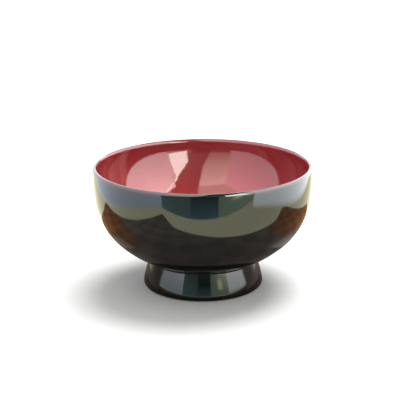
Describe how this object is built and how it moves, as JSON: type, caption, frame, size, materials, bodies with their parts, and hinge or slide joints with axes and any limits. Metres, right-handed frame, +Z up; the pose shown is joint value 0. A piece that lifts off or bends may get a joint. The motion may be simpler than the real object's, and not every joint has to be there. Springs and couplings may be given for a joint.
{
  "type": "lacquered soup bowl",
  "caption": "Round footed soup bowl in lacquered wood, mirror black outside and dark red inside, with a softly rounded lip and a tall foot ring.",
  "frame": {"origin": "centre of the foot, on the surface that the bowl stands on", "axes": "+Z up along the axis that the bowl was turned about, +X and +Y are any two radii at a right angle"},
  "size_m": [0.115, 0.115, 0.0654],
  "materials": {
    "wood": "turned, fine sanded, bare",
    "ground": "filled lacquer ground, rubbed flat",
    "red_lacquer": "polished gloss, deep red",
    "black_lacquer": "polished mirror gloss, black"
  },
  "bodies": {
    "root": {"wood_cup": "wood", "foot_ring": "wood", "inside_ground": "ground", "outside_ground": "ground", "foot_ground": "ground", "recess_ground": "ground", "inside_lacquer": "red_lacquer", "outside_lacquer": "black_lacquer", "foot_lacquer": "black_lacquer", "recess_lacquer": "black_lacquer"}
  },
  "joints": []
}
